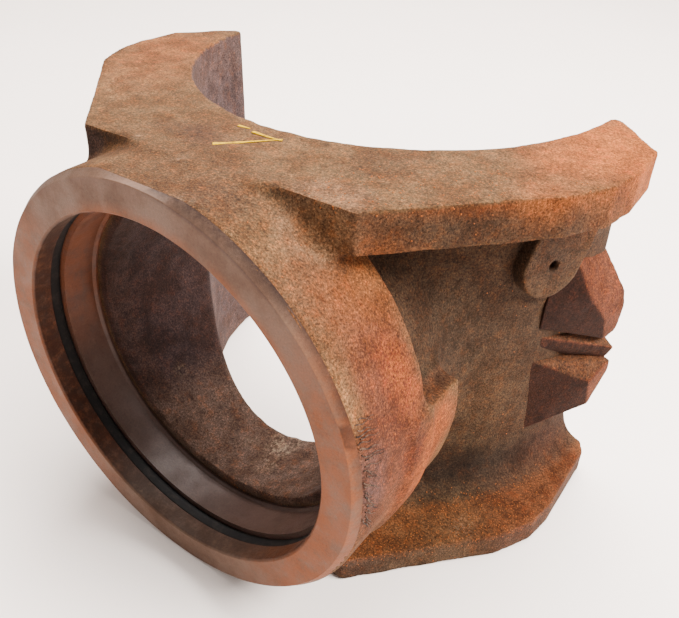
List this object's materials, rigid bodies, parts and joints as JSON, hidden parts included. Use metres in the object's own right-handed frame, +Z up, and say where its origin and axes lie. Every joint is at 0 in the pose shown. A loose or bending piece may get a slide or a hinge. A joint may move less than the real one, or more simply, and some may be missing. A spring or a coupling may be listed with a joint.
{
  "type": "pipe coupling",
  "caption": "Rusty cast half-body of a clamp-on branch coupling: C-shaped flanges and a half-shell hug the run pipe, and a machined collar holds the branch pipe.",
  "frame": {"origin": "middle of the footprint, on the underside of the lower flange", "axes": "+X across the body from one latch side to the other, +Y towards the parting plane and the run pipe, so the branch socket opens towards -Y, +Z up along the run pipe's axis"},
  "size_m": [0.279, 0.18, 0.199],
  "materials": {
    "cast_skin": "rough sand-cast skin, rusted brown",
    "rusty_skin": "rough sand-cast skin, rusted orange",
    "machined_face": "turned, tarnished",
    "black_rubber": "matt black",
    "machined_seat": "turned, tarnished brown"
  },
  "bodies": {
    "root": {"upper_flange": "cast_skin", "lower_flange": "rusty_skin", "branch_neck": "cast_skin", "branch_collar": "machined_face", "seal_ring": "black_rubber", "seat_ring": "machined_seat", "right_shell_wall": "cast_skin", "right_cheek": "rusty_skin", "right_boss": "cast_skin", "right_upper_nose": "rusty_skin", "right_lower_nose": "rusty_skin", "left_shell_wall": "cast_skin", "left_cheek": "rusty_skin", "left_boss": "cast_skin", "left_upper_nose": "rusty_skin", "left_lower_nose": "rusty_skin"}
  },
  "joints": []
}
